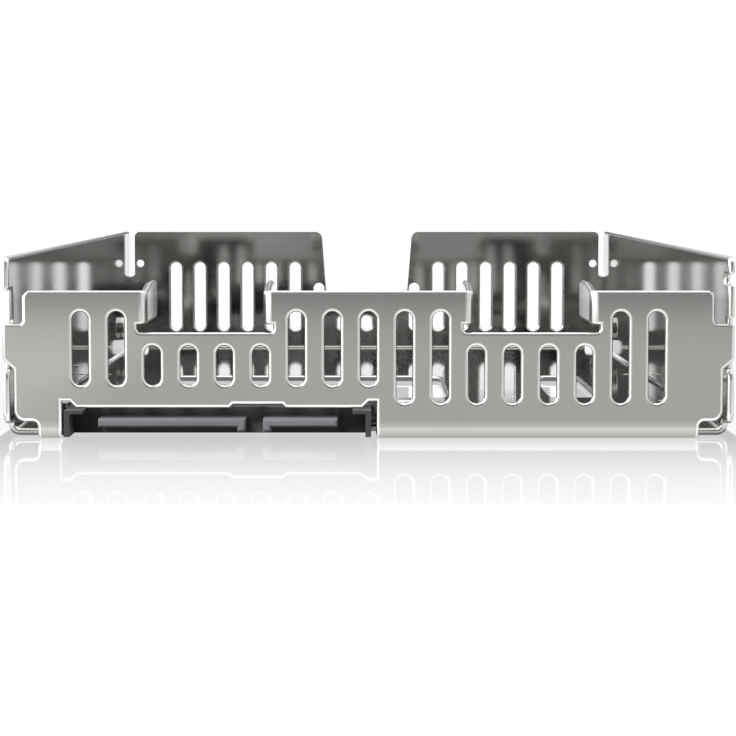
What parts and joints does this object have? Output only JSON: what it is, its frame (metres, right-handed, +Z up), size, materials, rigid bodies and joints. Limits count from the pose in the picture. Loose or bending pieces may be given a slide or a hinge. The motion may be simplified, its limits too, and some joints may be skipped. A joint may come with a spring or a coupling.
{
  "type": "drive bay adapter bracket",
  "caption": "Folded bright-steel tray of 3.5-inch drive size for a 2.5-inch drive, with slotted end panels and a small board that joins a receptacle inside to a plug in one end.",
  "frame": {"origin": "middle of the tray's underside, at the centre of its 3.5-inch outline", "axes": "+X to the right seen from the connector end, +Y from the connector end to the far end, +Z up"},
  "size_m": [0.1016, 0.147, 0.0254],
  "materials": {
    "bright_steel": "bright plated, mirror-like, edges tumbled round",
    "board_laminate": "black solder mask on glass-epoxy",
    "connector_black": "moulded, semi-gloss",
    "contact_gold": "gold flash",
    "tinned_steel": "tinned",
    "zinc_steel": "zinc plated"
  },
  "bodies": {
    "root": {"tray": "bright_steel", "adapter_board": "board_laminate", "plug_housing": "connector_black", "plug_power_contacts": "contact_gold", "plug_data_contacts": "contact_gold", "plug_board_locks": "tinned_steel", "receptacle_housing": "connector_black", "receptacle_power_contacts": "contact_gold", "receptacle_data_contacts": "contact_gold", "receptacle_board_locks": "tinned_steel", "board_screws": "zinc_steel"}
  },
  "joints": []
}
